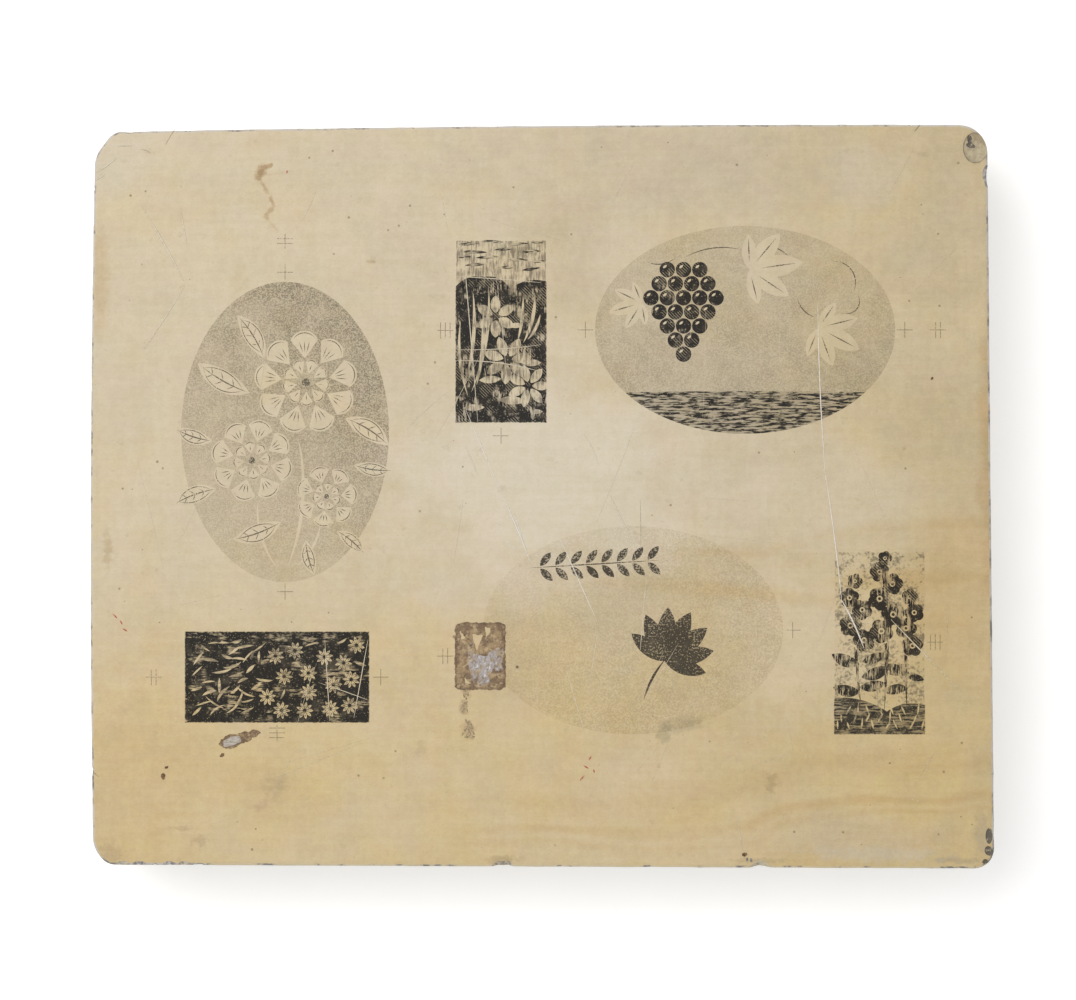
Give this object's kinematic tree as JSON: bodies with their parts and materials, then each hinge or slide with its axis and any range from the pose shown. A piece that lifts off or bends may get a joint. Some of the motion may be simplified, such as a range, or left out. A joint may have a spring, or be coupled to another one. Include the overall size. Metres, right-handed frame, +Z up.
{
  "type": "lithographic stone",
  "caption": "Flat rectangular slab of fine limestone for printing, with worn ink drawings and old gum on its ground upper face.",
  "frame": {"origin": "middle of the underside, on which the slab lies", "axes": "+X along the long side, +Y to the back long side, +Z up out of the ground printing face"},
  "size_m": [0.4317, 0.3557, 0.0646],
  "materials": {
    "limestone": "fine dense limestone, ground flat on top, rough sawn and ink-darkened at the sides",
    "grey_stipple_ink": "worn stippled greasy ink over bare stone",
    "black_ink": "flat black greasy ink with crayon grain",
    "grey_ink": "half-worn greasy ink",
    "gum_brown": "dried brown gum with a dull gloss",
    "gum_bloom": "whitish crystals bloomed on dried gum",
    "paper": "pale torn paper",
    "grit_brown": "dark brown grit",
    "red_crayon": "waxy red crayon"
  },
  "bodies": {
    "root": {"stone_slab": "limestone", "left_oval_stipple": "grey_stipple_ink", "left_oval_line_work": "grey_ink", "right_oval_stipple": "grey_stipple_ink", "right_oval_table_shade": "grey_ink", "right_oval_grapes": "black_ink", "right_oval_line_work": "grey_ink", "middle_oval_ghost_stipple": "grey_stipple_ink", "middle_oval_dark_spray": "grey_ink", "middle_oval_leaf_row": "black_ink", "top_panel_dark_pool": "black_ink", "top_panel_sky_strokes": "black_ink", "left_panel_dark_hedge": "black_ink", "left_panel_petal_strokes": "grey_ink", "right_panel_dark_ground": "black_ink", "right_panel_blossoms": "black_ink", "right_panel_stems_and_leaves": "black_ink", "register_marks": "grey_ink", "ink_specks": "black_ink", "brown_grit": "grit_brown", "red_crayon_flecks": "red_crayon", "gum_patch": "gum_brown", "gum_crystal_bloom": "gum_bloom", "gum_drips": "gum_brown", "gum_smear": "gum_brown", "paper_scrap": "paper"}
  },
  "joints": []
}
